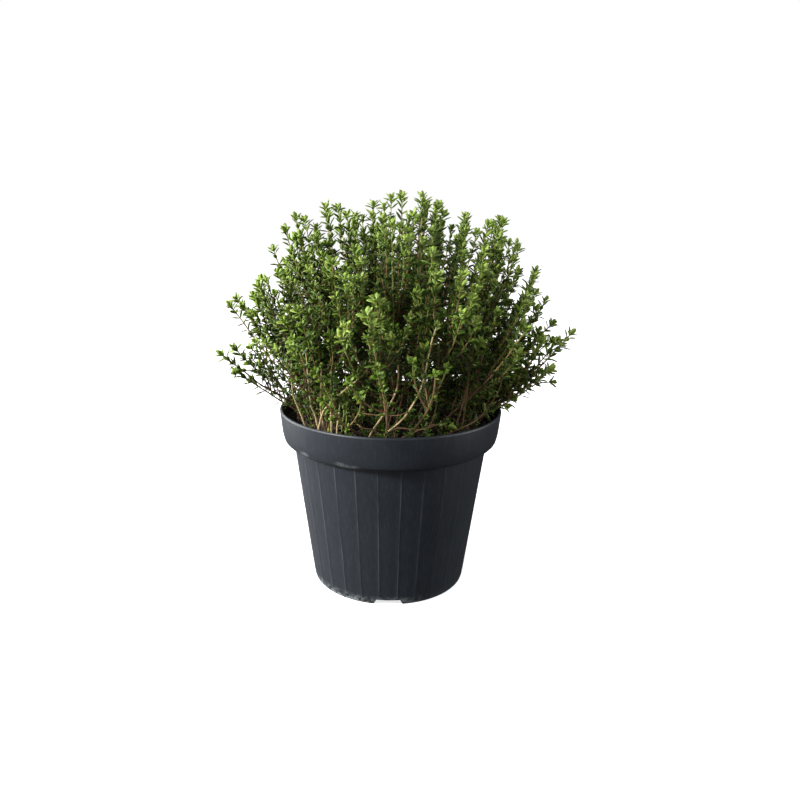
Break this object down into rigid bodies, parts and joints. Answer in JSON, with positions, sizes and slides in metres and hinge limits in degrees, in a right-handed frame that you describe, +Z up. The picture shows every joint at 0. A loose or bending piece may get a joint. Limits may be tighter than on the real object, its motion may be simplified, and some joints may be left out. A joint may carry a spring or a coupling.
{
  "type": "potted thyme",
  "caption": "Bushy dome of thin thyme stems with small paired leaves and tip rosettes, rooted in potting mix in a round ribbed plastic nursery pot with a deep rim band.",
  "frame": {"origin": "centre of the pot's foot, on the surface that it stands on", "axes": "+Z up along the pot's axis, -Y towards the viewer, through one of the four foot notches"},
  "size_m": [0.2089, 0.1986, 0.2261],
  "materials": {
    "pot": "satin",
    "potting_mix": "matte",
    "thyme_leaf": "satin",
    "thyme_stem": "matte"
  },
  "bodies": {
    "root": {"pot": "pot", "potting_mix": "potting_mix", "thyme_sprig_01": "thyme_leaf", "thyme_sprig_02": "thyme_leaf", "thyme_sprig_03": "thyme_leaf", "thyme_sprig_04": "thyme_leaf", "thyme_sprig_05": "thyme_leaf", "thyme_sprig_06": "thyme_leaf", "thyme_sprig_07": "thyme_leaf", "thyme_sprig_08": "thyme_leaf", "thyme_sprig_09": "thyme_leaf", "thyme_sprig_10": "thyme_leaf", "thyme_sprig_11": "thyme_leaf", "thyme_sprig_12": "thyme_leaf", "thyme_sprig_13": "thyme_leaf", "thyme_sprig_14": "thyme_leaf", "thyme_sprig_15": "thyme_leaf", "thyme_sprig_16": "thyme_leaf", "thyme_sprig_17": "thyme_leaf", "thyme_sprig_18": "thyme_leaf", "thyme_sprig_19": "thyme_leaf", "thyme_sprig_20": "thyme_leaf", "thyme_sprig_21": "thyme_leaf", "thyme_sprig_22": "thyme_leaf", "thyme_sprig_23": "thyme_leaf", "thyme_sprig_24": "thyme_leaf", "thyme_sprig_25": "thyme_leaf", "thyme_sprig_26": "thyme_leaf", "thyme_sprig_27": "thyme_leaf", "thyme_sprig_28": "thyme_leaf", "thyme_sprig_29": "thyme_leaf", "thyme_sprig_30": "thyme_leaf", "thyme_sprig_31": "thyme_leaf", "thyme_sprig_32": "thyme_leaf", "thyme_sprig_33": "thyme_leaf", "thyme_sprig_34": "thyme_leaf", "thyme_sprig_35": "thyme_leaf", "thyme_sprig_36": "thyme_leaf"}
  },
  "joints": []
}
